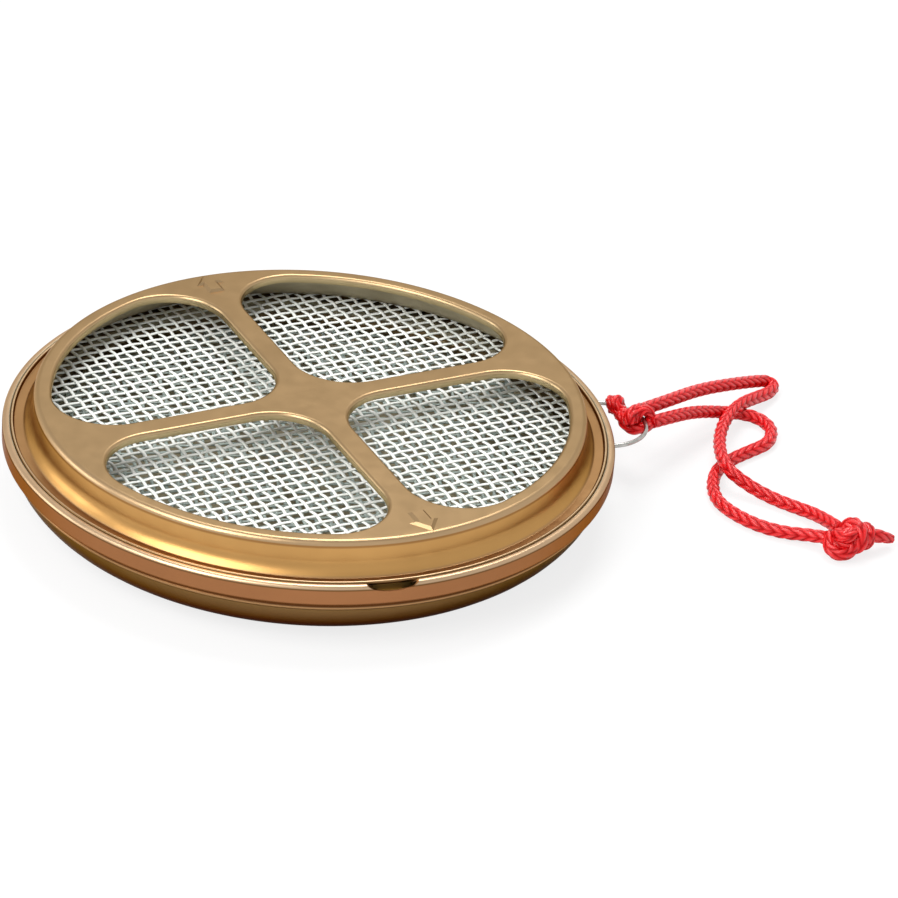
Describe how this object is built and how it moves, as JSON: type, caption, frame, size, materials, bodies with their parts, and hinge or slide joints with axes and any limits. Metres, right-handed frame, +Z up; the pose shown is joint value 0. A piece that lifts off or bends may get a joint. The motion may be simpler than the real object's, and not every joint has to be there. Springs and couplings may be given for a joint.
{
  "type": "mosquito coil holder",
  "caption": "Round bronze-gold tin with a windowed bayonet lid, woven net inside, a wire bail and a knotted red cord.",
  "frame": {"origin": "centre of the tin's underside, on the surface it stands on", "axes": "+Z up along the tin's axis; the wire bail and cord leave on the +X side; -Y is the side seen from the front"},
  "size_m": [0.2196, 0.15, 0.026],
  "materials": {
    "gold_lacquered_tin": "satin metallic lacquer",
    "plain_tin": "satin",
    "glass_fibre_net": "matt woven glass fibre",
    "zinc_wire": "bright drawn wire",
    "red_cord": "glossy braided polyester"
  },
  "bodies": {
    "base": {"base_pan": "gold_lacquered_tin", "base_net": "glass_fibre_net", "base_net_ring": "plain_tin"},
    "lid_ring": {"lid_net_ring": "plain_tin"},
    "lid": {"lid_shell": "gold_lacquered_tin", "lid_net": "glass_fibre_net"},
    "bail": {"hanging_bail": "zinc_wire", "cord_hitch": "red_cord", "cord_strand_rear": "red_cord", "cord_strand_front": "red_cord", "cord_knot": "red_cord"}
  },
  "joints": [
    {"name": "lid_lift", "type": "slide", "parent": "base", "child": "lid_ring", "axis": [0, 0, 1], "range_m": [0, 0.06]},
    {"name": "lid_twist", "type": "hinge", "parent": "lid_ring", "child": "lid", "pos_m": [0, 0, 0.016], "axis": [0, 0, -1], "range_deg": [0, 25]},
    {"name": "bail_swing", "type": "hinge", "parent": "base", "child": "bail", "pos_m": [0.07254, 0.01476, 0.0151], "axis": [0.1994, -0.9799, 0], "range_deg": [0, 35]}
  ]
}
